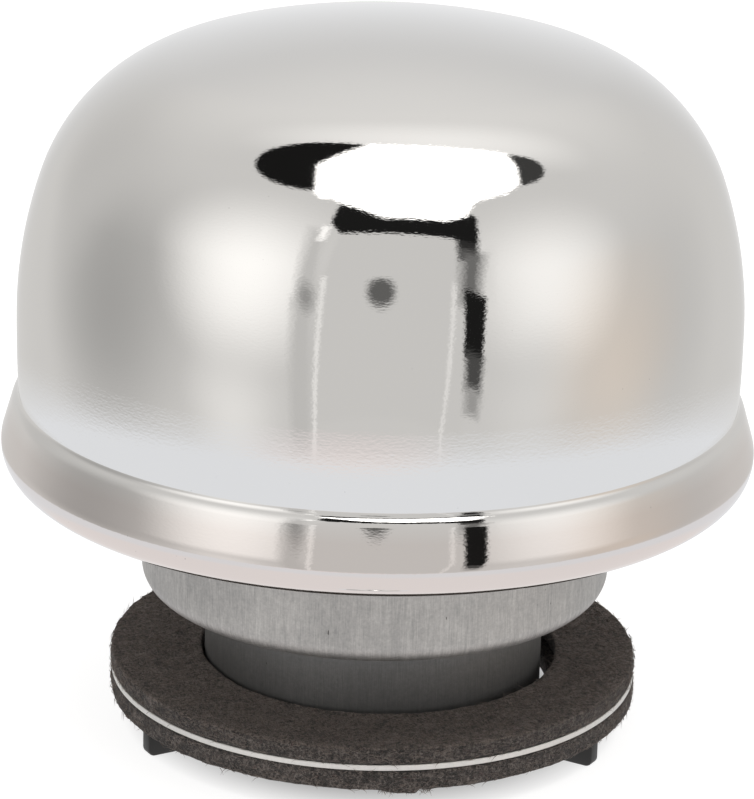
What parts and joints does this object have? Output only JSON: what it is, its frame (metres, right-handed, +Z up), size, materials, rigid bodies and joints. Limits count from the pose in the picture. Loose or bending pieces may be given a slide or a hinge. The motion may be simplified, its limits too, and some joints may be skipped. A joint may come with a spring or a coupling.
{
  "type": "air filter housing",
  "caption": "Domed chrome cover over a stepped aluminium cup with a filter element, a neck and a loose felt sealing ring, on a black arm spider.",
  "frame": {"origin": "on the cup's axis, in the plane that the three feet stand on", "axes": "+Z up along the axis from the feet to the crown of the cover; +Y along one arm of the spider"},
  "size_m": [0.1, 0.1, 0.096],
  "materials": {
    "chrome": "bright chrome plate with fine polishing marks",
    "bare_aluminium": "bare drawn sheet with fine draw marks",
    "sheet_aluminium": "bare rolled sheet with a sheared edge",
    "felt": "dense grey-brown felt with a fibrous face",
    "black_paint": "smooth black stove enamel",
    "zinc_steel": "bright zinc plate",
    "black_steel": "oiled black spring steel",
    "wire_mesh": "wound crimped steel wire"
  },
  "bodies": {
    "base": {"cup": "bare_aluminium", "spider": "black_paint", "support_plate": "zinc_steel", "flat_washer": "zinc_steel", "spring_washer": "black_steel", "clamp_nut": "zinc_steel", "centre_stud": "zinc_steel", "spacer_tube": "zinc_steel"},
    "element": {"lower_seal": "felt", "lower_end_cap": "zinc_steel", "inner_tube": "zinc_steel", "mesh_pack": "wire_mesh", "outer_screen": "zinc_steel", "upper_end_cap": "zinc_steel", "upper_seal": "felt"},
    "spring_stack": {"spring_seat": "zinc_steel", "pressure_spring": "black_steel"},
    "cover_assembly": {"cover": "chrome", "bridge": "zinc_steel", "cover_nut": "zinc_steel"},
    "ring_assembly": {"lower_felt": "felt", "ring_plate": "sheet_aluminium", "upper_felt": "felt"}
  },
  "joints": [
    {"name": "spring_lift", "type": "slide", "parent": "base", "child": "spring_stack", "axis": [0, 0, 1], "range_m": [0, 0.14]},
    {"name": "cover_turn", "type": "hinge", "parent": "spring_stack", "child": "cover_assembly", "pos_m": [0, 0, 0.08], "axis": [0, 0, 1], "continuous": true},
    {"name": "element_lift", "type": "slide", "parent": "base", "child": "element", "axis": [0, 0, 1], "range_m": [0, 0.07]},
    {"name": "ring_slide", "type": "slide", "parent": "base", "child": "ring_assembly", "axis": [0, 0, 1], "range_m": [0, 0.0082]}
  ],
  "couplings": [
    {"joint": "element_lift", "follows": "spring_lift", "ratio": 0.5}
  ]
}
